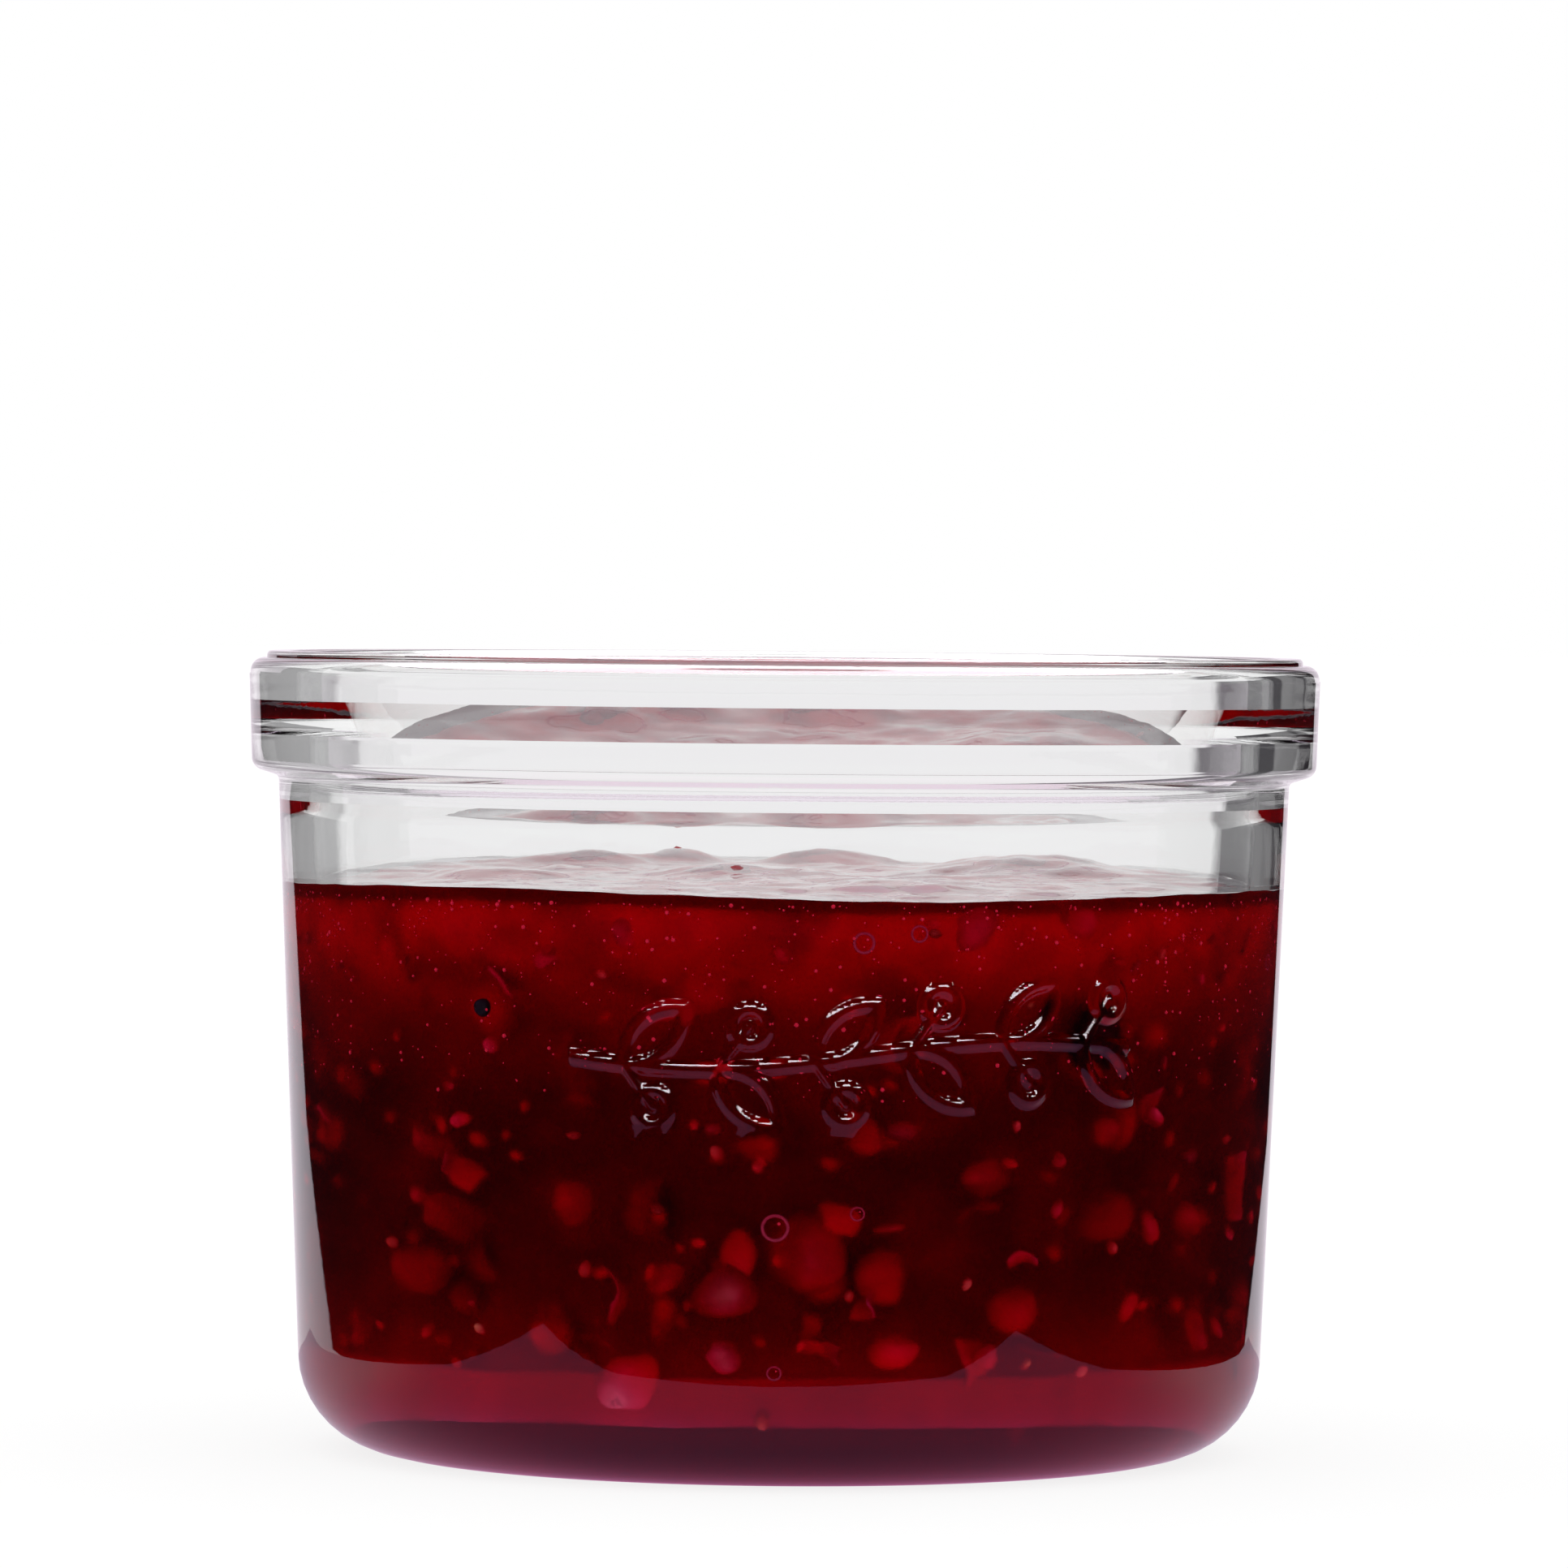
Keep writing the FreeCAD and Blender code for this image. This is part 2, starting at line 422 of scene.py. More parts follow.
class Tree:
    """The node tree of a material or a world, built node by node."""

    def __init__(self, owner):
        owner.use_nodes = True
        self.nodes = owner.node_tree.nodes
        self.links = owner.node_tree.links
        self.nodes.clear()

    def node(self, kind, settings=None, inputs=None, output=0):
        """Adds a node, makes its settings, then gives its inputs. A colour is three numbers."""
        made = self.nodes.new(kind)
        for name, value in (settings or {}).items():
            if name == "stops":
                self.set_stops(made.color_ramp, value)
            else:
                setattr(made, name, value)
        for name, value in (inputs or {}).items():
            socket = made.inputs[name]
            if isinstance(value, Wire):
                self.links.new(value.socket, socket)
            elif socket.type == "RGBA":
                socket.default_value = (*value, 1)
            else:
                socket.default_value = value
        return Wire(self, made.outputs[output]) if len(made.outputs) else None

    def set_stops(self, ramp, stops):
        while len(ramp.elements) < len(stops):
            ramp.elements.new(1)
        for element, (position, stop) in zip(ramp.elements, stops):
            element.position = position
            element.color = (*stop, 1)

    def blend(self, factor, first, second):
        """Mixes two colours."""
        inputs = {0: factor, 6: first, 7: second}
        return self.node("ShaderNodeMix", {"data_type": "RGBA"}, inputs, output=2)

    def place(self):
        return self.node("ShaderNodeTexCoord", output="Object")

    def along(self, axis):
        """One of the object's own coordinates, in metres."""
        return self.node("ShaderNodeSeparateXYZ", None, {0: self.place()}, output=axis)

    def noise(self, scale, detail=2.0):
        """Noise on the object's own coordinates, with the scale in features per metre."""
        inputs = {"Vector": self.place(), "Scale": scale, "Detail": detail}
        return self.node("ShaderNodeTexNoise", None, inputs)

    def light_path(self, output):
        return self.node("ShaderNodeLightPath", output=output)

    def bump(self, height):
        """Normal for a height in metres."""
        return self.node("ShaderNodeBump", None, {"Strength": 1.0, "Distance": 1.0, "Height": height})

    def principled(self, inputs):
        return self.node("ShaderNodeBsdfPrincipled", None, inputs)

    def glow(self, colour, strength=1.0):
        return self.node("ShaderNodeEmission", None, {"Color": colour, "Strength": strength})

    def mix(self, factor, first, second):
        """Mixes two shaders."""
        return self.node("ShaderNodeMixShader", None, {0: factor, 1: first, 2: second})

    def let_shadows_through(self, shader, tint):
        """Lets lamps' light pass straight through a clear shader."""
        passing = self.node("ShaderNodeBsdfTransparent", None, {"Color": tint})
        return self.mix(self.light_path("Is Shadow Ray"), shader, passing)

    def finish(self, **shaders):
        self.node("ShaderNodeOutputMaterial", None, shaders)


# ---- materials

WHITE = (1, 1, 1)
BLACK = (0, 0, 0)
GLASS_IOR = 1.5
JELLY_IOR = 1.4


def new_material(name):
    material = bpy.data.materials.new(name)
    return material, Tree(material)


def clear_glass():
    """Clear glass with the fine waves that pressing leaves in it."""
    material, tree = new_material("pressed_glass")
    wave_height = 0.03 * MM
    peel_height = 0.001 * MM
    waves = tree.noise(70, detail=1.0) * wave_height + tree.noise(900, detail=1.0) * peel_height
    shader = tree.principled({
        "Base Color": (0.985, 0.99, 0.988),
        "Roughness": 0.012,
        "IOR": GLASS_IOR,
        "Transmission Weight": 1.0,
        "Normal": tree.bump(waves),
    })
    tree.finish(Surface=tree.let_shadows_through(shader, (0.94, 0.95, 0.945)))
    return material


def refracting(tree, roughness):
    """Surface that bends light and mirrors none."""
    inputs = {"Color": WHITE, "Roughness": roughness, "IOR": JELLY_IOR}
    return tree.let_shadows_through(tree.node("ShaderNodeBsdfRefraction", None, inputs), WHITE)


def wetted_glass():
    """Inside of the glass where the jam wets it: it undoes the jelly's refraction."""
    material, tree = new_material("wetted_glass")
    tree.finish(Surface=refracting(tree, 0.0))
    return material


def jelly_volume(tree):
    inputs = {"Color": jam().jelly_colour, "Density": jam().jelly_density}
    return tree.node("ShaderNodeVolumeAbsorption", None, inputs)


def jelly_at_wall():
    """Side of the jelly: cloudy, so that fruit blurs with its depth."""
    material, tree = new_material("jelly_at_wall")
    cloudiness = 0.36
    tree.finish(Surface=refracting(tree, cloudiness), Volume=jelly_volume(tree))
    return material


def jelly_top():
    """Wet, glossy top of the jam."""
    material, tree = new_material("jelly_top")
    ripple_height = 0.09 * MM
    shader = tree.principled({
        "Base Color": (0.95, 0.72, 0.82),
        "Roughness": 0.05,
        "IOR": GLASS_IOR,
        "Transmission Weight": 0.8,
        "Normal": tree.bump(tree.noise(260) * ripple_height),
    })
    tree.finish(Surface=tree.let_shadows_through(shader, WHITE), Volume=jelly_volume(tree))
    return material


def dense_fruit():
    """Packed fruit of the core with darker and redder patches, and painted light: brighter just below the
    surface and towards the base, with a red glow at the base.
    """
    j = jam()
    material, tree = new_material("dense_fruit")
    height = tree.along("Z")
    level = jam_level()
    # Painted light: lighter towards the base and just below the surface, darker in the middle
    shade = tree.blend(height.rise(5 * MM, 20 * MM), j.core_bottom_painted_light, j.core_middle)
    shade = tree.blend(height.rise(level - 17 * MM, level - 1 * MM), shade, j.core_top_painted_light)
    patches = tree.noise(190, detail=3.0).rise(0.42, 0.66)
    shade = tree.blend(patches * 0.55, shade, j.berry_ripe)
    dark_patches = tree.noise(120).rise(0.5, 0.68)
    tree.finish(Surface=tree.principled({
        "Base Color": tree.blend(dark_patches * 0.6, shade, j.berry_dark),
        "Roughness": 0.7,
        "Specular IOR Level": 0.1,
        # Painted light: the core glows red near the base
        "Emission Color": tree.blend(height.rise(3 * MM, 13 * MM), j.painted_base_glow, BLACK),
        "Emission Strength": 1.0,
    }))
    return material


def fruit_flesh(name, dark, ripe, pale, mottle=400, roughness=0.5):
    """Fruit whose own shade runs from dark to pale, with painted shading across each copy and mottling on
    top.
    """
    material, tree = new_material(name)
    shade = tree.node("ShaderNodeAttribute", {"attribute_name": "shade"}, output="Fac")
    mottled = shade + (tree.noise(mottle, detail=3.0) - 0.5) * 0.9
    stops = [(0.0, dark), (0.45, ripe), (1.0, pale)]
    tint = tree.node("ShaderNodeValToRGB", {"stops": stops}, {0: mottled})
    inputs = {"Base Color": tint, "Roughness": roughness, "Specular IOR Level": 0.15}
    tree.finish(Surface=tree.principled(inputs))
    return material


def berry_flesh(name):
    return fruit_flesh(name, jam().berry_dark, jam().berry_ripe, jam().berry_pale)


def painted_bubble_look(name, tint, roughness, specular):
    """Painted light of a bubble: a small matt red bead for its glint, or a ring for the rim of a larger one
    where it touches the glass.
    """
    material, tree = new_material(name)
    inputs = {"Base Color": tint, "Roughness": roughness, "Specular IOR Level": specular}
    tree.finish(Surface=tree.principled(inputs))
    return material


# ---- glass

# Pressed sprig on the front of the jar: where it lies, and how finely that part is divided
RELIEF_MIDDLE_HEIGHT = 33.7 * MM
RELIEF_HALF_HEIGHT = 5.6 * MM
RELIEF_BEARING = (-32 * DEGREE, 50 * DEGREE)
RELIEF_CUTS = 7

# Parts of the sprig, in millimetres, with the leaves' lean in radians
STEM_HALF_LENGTH = 23.0
STEM_WAVE = 1.1
STEM_WAVE_LENGTH = 8.0
SPRIG_LEAVES = 6
LEAF_SPACING = 7.4
LEAF_LENGTH = 6.4
LEAF_HALF_WIDTH = 1.5
LEAF_LEAN = 0.75
SPRIG_BERRY_RADIUS = 1.3
SPRIG_BERRY_PLACE = (2.4, 3.3)
LINE_HALF_WIDTH = 0.7
STALK_HALF_WIDTH = 0.45
ROUNDNESS = 1.3


def dome(distance, half_width):
    """Round-topped ridge or boss, from 0 at its edge to 1 on its middle."""
    return np.clip(1 - (distance / half_width) ** 2, 0, 1) ** ROUNDNESS


def stroke(across, up, start, end, half_width):
    """Straight raised stroke between two points."""
    run_across, run_up = end[0] - start[0], end[1] - start[1]
    across = across - start[0]
    up = up - start[1]
    along = np.clip((across * run_across + up * run_up) / (run_across ** 2 + run_up ** 2), 0, 1)
    return dome(np.hypot(across - along * run_across, up - along * run_up), half_width)


def leaf(across, up, foot, direction):
    """Raised outline of a pointed leaf, from its foot along a direction."""
    c, s = math.cos(direction), math.sin(direction)
    along = (across - foot[0]) * c + (up - foot[1]) * s - LEAF_LENGTH / 2
    aside = np.abs((up - foot[1]) * c - (across - foot[0]) * s)
    bow = (LEAF_LENGTH ** 2 / 4 + LEAF_HALF_WIDTH ** 2) / (2 * LEAF_HALF_WIDTH)
    return dome(np.hypot(along, aside + bow - LEAF_HALF_WIDTH) - bow, LINE_HALF_WIDTH)


def sprig(across, up):
    """Raised sprig of leaves and round berries, in millimetres from its middle: 0 to 1."""
    stem_height = STEM_WAVE * np.sin(across / STEM_WAVE_LENGTH)
    on_stem = np.abs(across) < STEM_HALF_LENGTH
    raised = dome(up - stem_height, LINE_HALF_WIDTH) * on_stem
    for number in range(SPRIG_LEAVES):
        foot_across = (number - (SPRIG_LEAVES - 1) / 2) * LEAF_SPACING
        foot = (foot_across, STEM_WAVE * math.sin(foot_across / STEM_WAVE_LENGTH))
        side = 1 if number % 2 == 0 else -1
        raised = np.maximum(raised, leaf(across, up, foot, side * LEAF_LEAN))
        berry = (foot_across + SPRIG_BERRY_PLACE[0], foot[1] - side * SPRIG_BERRY_PLACE[1])
        raised = np.maximum(raised, stroke(across, up, foot, berry, STALK_HALF_WIDTH))
        ring = np.hypot(across - berry[0], up - berry[1]) - SPRIG_BERRY_RADIUS
        raised = np.maximum(raised, dome(ring, LINE_HALF_WIDTH))
    return raised


def press_relief(piece):
    """Divides the front of the body finely and raises the sprig on it."""
    low = RELIEF_MIDDLE_HEIGHT - RELIEF_HALF_HEIGHT
    high = RELIEF_MIDDLE_HEIGHT + RELIEF_HALF_HEIGHT
    bpy.context.view_layer.objects.active = piece
    bpy.ops.object.mode_set(mode="EDIT")
    bpy.ops.mesh.select_all(action="DESELECT")
    bpy.ops.mesh.select_mode(type="FACE")
    end_edit()
    for face in piece.data.polygons:
        x, y, z = face.center
        bearing = math.atan2(x, -y)
        outside = math.hypot(x, y) > outer_wall_radius(z) - MM
        face.select = low < z < high and outside and RELIEF_BEARING[0] < bearing < RELIEF_BEARING[1]
    bpy.ops.object.mode_set(mode="EDIT")
    bpy.ops.mesh.subdivide(number_cuts=RELIEF_CUTS)
    end_edit()
    chosen = np.array([vertex.select for vertex in piece.data.vertices])
    if not chosen.any():
        raise ValueError("the front of the jar has no faces for the sprig")
    points = points_of(piece)
    x, y, z = points[chosen].T
    bearing = np.arctan2(x, -y)
    radius = outer_wall_radius(z)
    across = (bearing - sum(RELIEF_BEARING) / 2) * radius / MM
    up = (z - RELIEF_MIDDLE_HEIGHT) / MM
    radius += jar().relief_height * sprig(across, up)
    points[chosen] = np.column_stack([radius * np.sin(bearing), -radius * np.cos(bearing), z])
    move_points(piece, points)


class JAMJAR_OT_glass(bpy.types.Operator):
    """Pressed glass jar with its raised sprig"""

    bl_idname = "jam_jar.glass"
    bl_label = "Glass jar"

    def sharpen_seat(self, piece):
        """Keeps the lid seat and the small step crisp, and the relief smooth, under smooth shading."""
        j = jar()
        depths = (j.seat_top_depth, j.seat_bottom_depth, j.step_depth)
        seat_edges = [j.height - depth for depth in depths]
        inside = j.collar_radius - j.collar_wall + WELD
        vertices = piece.data.vertices
        for edge in piece.data.edges:
            ends = [vertices[number].co for number in edge.vertices]
            for seat_edge in seat_edges:
                level = all(abs(end.z - seat_edge) < WELD for end in ends)
                if level and all(end.xy.length < inside for end in ends):
                    edge.use_edge_sharp = True
            if all(abs(end.z - RELIEF_MIDDLE_HEIGHT) < RELIEF_HALF_HEIGHT and end.y < 0 for end in ends):
                edge.use_edge_sharp = False

    def execute(self, context):
        piece = spun("pressed_glass_jar", rounded_outline(outer_corners() + inner_corners()))
        level = jam_level()
        wall_radius = radius_on(rounded_outline(inner_corners()), level)
        points = points_of(piece)
        for index, (x, y, z) in enumerate(points):
            if abs(math.hypot(x, y) - wall_radius) < MM and abs(z - level) < STRAIGHT_STEP / 2:
                points[index, 2] = jam_height(x, y)
        move_points(piece, points)
        press_relief(piece)
        smooth(piece, 28)
        self.sharpen_seat(piece)
        finish_piece(piece, "clear_glass", clear_glass(), wetted_glass())

        def wetted(centre, normal):
            below = centre.z < jam_height(centre.x, centre.y)
            inwards = centre.x * normal.x + centre.y * normal.y < -0.1 * MM or normal.z > 0.5
            return below and inwards and centre.z > jar().base_thickness
        assign_faces(piece, 1, wetted)
        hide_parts("glass_jar")
        return {"FINISHED"}


# ---- jam

# Small folds in the surface, and how calm it is at the wall
FOLD_HEIGHT = 0.28 * MM
FOLD_LENGTH = 5 * MM
FINE_FOLD_LENGTH = 2.2 * MM
FINE_FOLD_SHIFT = Vector((0, 0, 9 * MM))
CALM_WIDTH = 4 * MM
CALM_AT_WALL = 0.35

# How far a sunk fruit lifts the surface round it, as a multiple of its radius
MOUND_SPREAD = 1.4

# The dense core: its top below the surface, and how far it is let out near the surface and the base
CORE_TOP_DEPTH = 1.0 * MM
CORE_WIDENING = 7.2 * MM
CORE_LOWERING = 7.4 * MM
CORE_RINGS = [0.98, 0.85, 0.7, 0.55, 0.4, 0.25, 0.1, 0]
LUMP_LENGTH = 6 * MM
FINE_LUMP_LENGTH = 2.6 * MM

# Fruit that breaks the surface: bearing in degrees from +X, gap to the wall, radius, rise, in mm
SURFACE_FRUIT = [
    (123, 3.0, 4.6, 0.9),
    (108, 4.0, 3.8, 0.8),
    (82, 4.0, 4.8, 0.9),
    (24, 7.0, 8.0, 1.1),
    (182, 9.5, 5.2, 0.8),
    (153, 27.0, 5.6, 0.7),
    (293, 13.0, 5.0, 0.6),
]


def surface_fruit_places():
    """(x, y, radius, rise) of each fruit that breaks the surface, in metres."""
    wall = radius_on(rounded_outline(inner_corners()), jam_level())
    places = []
    for bearing, gap, radius, rise in SURFACE_FRUIT:
        from_axis = wall - gap * MM - radius * MM
        x = from_axis * math.cos(math.radians(bearing))
        y = from_axis * math.sin(math.radians(bearing))
        places.append((x, y, radius * MM, rise * MM))
    return places


def surface_of_jam(x, y, wall_radius, fruit_places):
    """Height of the wet surface: swell, fruit under it and small folds, which die down towards the wall."""
    height = jam_height(x, y)
    for fruit_x, fruit_y, radius, rise in fruit_places:
        distance = math.hypot(x - fruit_x, y - fruit_y) / radius
        if distance < MOUND_SPREAD:
            height += rise * (1 - (distance / MOUND_SPREAD) ** 2) ** 1.5
    gap = max(wall_radius - math.hypot(x, y), 0)
    calm = min(CALM_AT_WALL + (1 - CALM_AT_WALL) * gap / CALM_WIDTH, 1)
    place = Vector((x, y, 0))
    folds = noise.noise(place / FOLD_LENGTH)
    folds += 0.5 * noise.noise((place + FINE_FOLD_SHIFT) / FINE_FOLD_LENGTH)
    return height + FOLD_HEIGHT * folds * calm


class JAMJAR_OT_jelly(bpy.types.Operator):
    """Clear red jelly that fills the jar to the wall"""

    bl_idname = "jam_jar.jelly"
    bl_label = "Jelly"

    def execute(self, context):
        side = jam_outline(-jam().wall_overlap)
        edge = side[-1]
        ring_width = 0.7 * MM
        rings = math.ceil(edge.x / ring_width)
        top = [Vector((edge.x * (1 - ring / rings), edge.y)) for ring in range(1, rings + 1)]
        piece = spun("jelly", side + top)
        points = points_of(piece)
        fruit_places = surface_fruit_places()
        for index, (x, y, z) in enumerate(points):
            if z > edge.y - 0.01 * MM:
                points[index, 2] = surface_of_jam(x, y, edge.x, fruit_places)
        move_points(piece, points)
        smooth(piece, 60)
        finish_piece(piece, "red_jam", jelly_at_wall(), jelly_top())

        def is_top(centre, normal):
            return normal.z > 0.5 and centre.z > edge.y - 2 * MM
        assign_faces(piece, 1, is_top)
        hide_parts("fruit_jam")
        return {"FINISHED"}


def smoothstep(value, low, high):
    """0 below low, 1 above high, and a smooth change between them."""
    part = min(max((value - low) / (high - low), 0), 1)
    return part * part * (3 - 2 * part)


def core_point(point):
    """Outline point of the core, let out towards the wall near the surface and down towards the base."""
    top = jam_level()
    widening = CORE_WIDENING * smoothstep(point.y, top - 15 * MM, top - 2 * MM)
    lowering = CORE_LOWERING * (1 - smoothstep(point.y, 10 * MM, 20 * MM))
    radius = point.x + widening + 0.75 * lowering if point.x > 0 else 0
    return Vector((radius, point.y - lowering))


class JAMJAR_OT_core(bpy.types.Operator):
    """Dense, lumpy fruit behind the clear jelly"""

    bl_idname = "jam_jar.core"
    bl_label = "Dense fruit"

    def execute(self, context):
        top = jam_level() - CORE_TOP_DEPTH
        side = [core_point(point) for point in jam_outline(jam().core_inset) if point.y < top]
        lid = [Vector((side[-1].x * ring, top)) for ring in CORE_RINGS]
        piece = spun("dense_fruit", side + lid)
        points = points_of(piece)
        for index, point in enumerate(points):
            place = Vector(point)
            lump = noise.noise(place / LUMP_LENGTH) + 0.5 * noise.noise(place / FINE_LUMP_LENGTH)
            near_top = smoothstep(place.z, top - 6 * MM, top)
            free = smoothstep(place.z, 6 * MM, 16 * MM) * (1 - near_top)
            lift = (0.7 + 1.9 * free) * MM * lump
            swell = (jam_height(place.x, place.y) - jam_level()) * near_top
            outwards = Vector((place.x, place.y, place.z - 0.5 * top)).normalized()
            shift = Vector((outwards.x * lift, outwards.y * lift, outwards.z * lift * 0.5 + swell))
            points[index] = place + shift
        move_points(piece, points)
        smooth(piece, 80)
        finish_piece(piece, "red_jam", dense_fruit())
        return {"FINISHED"}


# ---- scattered fruit

def template(piece):
    """Takes a modelled piece apart into points and triangles, and removes it."""
    bpy.context.view_layer.objects.active = piece
    bpy.ops.object.mode_set(mode="EDIT")
    bpy.ops.mesh.select_all(action="SELECT")
    bpy.ops.mesh.quads_convert_to_tris()
    end_edit()
    points = points_of(piece)
    triangles = np.array([face.vertices[:] for face in piece.data.polygons])
    bpy.data.objects.remove(piece)
    return points, triangles


def berry_template():
    """Round drupelet, a little flattened and dented."""
    piece = begin(bpy.ops.mesh.primitive_ico_sphere_add, subdivisions=3, radius=1)
    bpy.ops.transform.vertex_random(offset=0.16, seed=4)
    bpy.ops.mesh.vertices_smooth(factor=0.5)
    end_edit()
    return template(piece)


def chunk_template():
    """Ragged piece of fruit flesh."""
    piece = begin(bpy.ops.mesh.primitive_ico_sphere_add, subdivisions=2, radius=1)
    bpy.ops.transform.vertex_random(offset=0.42, seed=11)
    bpy.ops.mesh.subdivide(number_cuts=2, smoothness=1)
    bpy.ops.transform.vertex_random(offset=0.05, seed=3)
    bpy.ops.mesh.vertices_smooth(factor=0.5, repeat=3)
    end_edit()
    return template(piece)


def ball_template():
    """Round bead for a bubble's painted glint."""
    piece = begin(bpy.ops.mesh.primitive_ico_sphere_add, subdivisions=1, radius=1)
    end_edit()
    return template(piece)


def ring_template():
    """Thin ring for the painted rim round a bubble."""
    options = {"major_segments": 32, "minor_segments": 8, "major_radius": 1, "minor_radius": 0.15}
    piece = begin(bpy.ops.mesh.primitive_torus_add, **options)
    end_edit()
    return template(piece)


def seed_template():
    """Small seed, drawn to a point at one end."""
    piece = begin(bpy.ops.mesh.primitive_ico_sphere_add, subdivisions=2, radius=1)
    end_edit()
    points = points_of(piece)
    points[:, :2] *= (1 - 0.35 * np.clip(points[:, 2:], 0, 1))
    points[:, 1] *= 0.8
    points[:, 2] *= 1.5
    move_points(piece, points)
    return template(piece)


def skin_template():
    """Thin curled skin."""
    piece = begin(bpy.ops.mesh.primitive_grid_add, x_subdivisions=6, y_subdivisions=4, size=2)
    bpy.ops.transform.resize(value=(1, 0.55, 1))
    bpy.ops.transform.vertex_random(offset=0.12, seed=8)
    end_edit()
    points = points_of(piece)
    points[:, 2] += 0.55 * points[:, 0] ** 2 - 0.4 * points[:, 1] ** 2
    move_points(piece, points)
    thicken = piece.modifiers.new("thickness", "SOLIDIFY")
    thicken.thickness = 0.09
    bpy.ops.object.modifier_apply(modifier=thicken.name)
    return template(piece)


# Painted shading: how much a copy's shade changes from one side to the other, lighter on one side and
# darker on the other
PAINTED_SHADE_ACROSS = 0.22


def press_inside(points):
    """Presses what reaches past the wall or the floor back against it."""
    outline = jam_outline(0)
    floor = outline[0].y
    rising = [point for point in outline if point.y > floor]
    widest = np.interp(points[:, 2], [point.y for point in rising], [point.x for point in rising])
    radius = np.maximum(np.hypot(points[:, 0], points[:, 1]), WELD)
    points[:, :2] *= np.minimum(1, widest / radius)[:, None]
    points[:, 2] = np.maximum(points[:, 2], floor)


def scatter(name, shape, places, material, uneven=0.12, inside=True):
    """One joined piece of many copies of a shape. Each place is (centre, turn, size along x y z, shade)."""
    base, triangles = shape
    draw = random.Random(name)
    all_points = []
    all_triangles = []
    tones_and_painted_shading = []
    for number, (centre, turn, size, shade) in enumerate(places):
        phase = np.array([draw.uniform(0, math.tau) for _ in range(3)])
        swell = 1 + uneven * np.sin(base * 2.1 + phase).sum(axis=1, keepdims=True)
        turned = (base * swell * np.array(size)) @ np.array(turn.to_matrix()).T
        all_points.append(turned + np.array(centre))
        all_triangles.append(triangles + number * len(base))
        # Painted shading: each copy is lighter on one side than the other, across a random direction
        tones_and_painted_shading.append(shade + PAINTED_SHADE_ACROSS * base @ np.array(any_turn(draw).to_matrix())[0])
    points = np.concatenate(all_points)
    if inside:
        press_inside(points)
    mesh = bpy.data.meshes.new(name)
    mesh.from_pydata(points.tolist(), [], np.concatenate(all_triangles).tolist())
    # The shade attribute holds each copy's own tone together with its painted shading
    attribute = mesh.attributes.new("shade", "FLOAT", "POINT")
    attribute.data.foreach_set("value", np.concatenate(tones_and_painted_shading).astype(np.float32))
    piece = bpy.data.objects.new(name, mesh)
    bpy.context.scene.collection.objects.link(piece)
    smooth(piece, 80)
    finish_piece(piece, "red_jam", material)


# Heights between which scattered fruit lies: above the base, and below the surface
FRUIT_LOWEST = 6.5 * MM
FRUIT_TOP_GAP = 2.5 * MM

# Least and most width, depth and length of a scattered berry piece, as multiples of its radius
BERRY_SHAPE = ((0.45, 0.9), (0.6, 1.0), (0.8, 1.6))
RAGGED_SHARE = 0.35


class Wall:
    """Places in the jam, given by bearing from the front, height and depth behind the glass."""

    def __init__(self):
        self.outline = jam_outline(0)
        self.level = jam_level()
        self.foot = self.outline[0].y + 0.8 * MM

    def point(self, bearing, height, depth):
        radius = radius_on(self.outline, max(height, self.foot)) - depth
        return Vector((radius * math.sin(bearing), -radius * math.cos(bearing), height))

    def listed(self, degrees, height, depth):
        """Place from a list, in degrees and millimetres."""
        return self.point(degrees * DEGREE, height * MM, depth * MM)

    def draw(self, draw, lowest, highest, depth, crowding=1.0):
        """Random place; crowding over 1 draws it down towards the base."""
        bearing = draw.uniform(-math.pi, math.pi)
        height = lowest + (highest - lowest) * draw.random() ** crowding
        return self.point(bearing, height, depth)


def any_turn(draw):
    return Euler([draw.uniform(0, math.tau) for _ in range(3)])


# Larger fruit that shows from the front: bearing in degrees, height, depth and radius in mm, shade
FRONT_FRUIT = [
    (-7, 15.5, 2.6, 2.3, 0.62),
    (13, 16.2, 2.8, 2.0, 0.55),
    (2, 18.4, 5.0, 3.2, 0.55),
    (-15, 16.0, 2.6, 1.2, 0.60),
    (-20, 8.0, 1.6, 1.9, 1.0),
    (-7, 10.2, 1.6, 1.6, 0.75),
    (15, 11.0, 2.2, 1.5, 0.80),
    (27, 10.4, 1.8, 0.9, 0.70),
    (-51, 26.7, 2.2, 1.1, 0.60),
    (-54, 16.0, 4.0, 2.4, 0.50),
    (-41, 36.2, 4.5, 2.7, 0.50),
    (46, 20.5, 3.6, 1.9, 0.50),
    (45, 27.4, 2.2, 1.2, 0.60),
    (36, 25.5, 1.2, 0.7, 0.75),
    (24, 43.6, 2.4, 1.6, 0.75),
    (38, 43.9, 2.2, 1.3, 0.65),
    (-19, 42.8, 1.8, 1.1, 0.85),
    (8, 41.0, 5.0, 3.0, 0.62),
    (-12, 39.2, 4.4, 2.5, 0.60),
    (-27, 21.6, 3.2, 1.6, 0.45),
    (32, 13.8, 3.0, 1.4, 0.60),
    (-31, 12.2, 3.0, 1.8, 0.60),
]

# Whole dark fruit: bearing in degrees, height, depth and radius in mm
DARK_FRUIT = [
    (22, 41.6, 5.2, 2.3),
    (43, 34.6, 3.4, 2.6),
    (-37.4, 36.8, 0.2, 0.75),
    (104, 30.0, 4.0, 2.8),
    (161, 17.0, 4.0, 2.7),
    (-96, 24.0, 4.2, 3.0),
    (-142, 38.0, 3.8, 2.6),
    (98, 13.0, 4.2, 2.6),
]

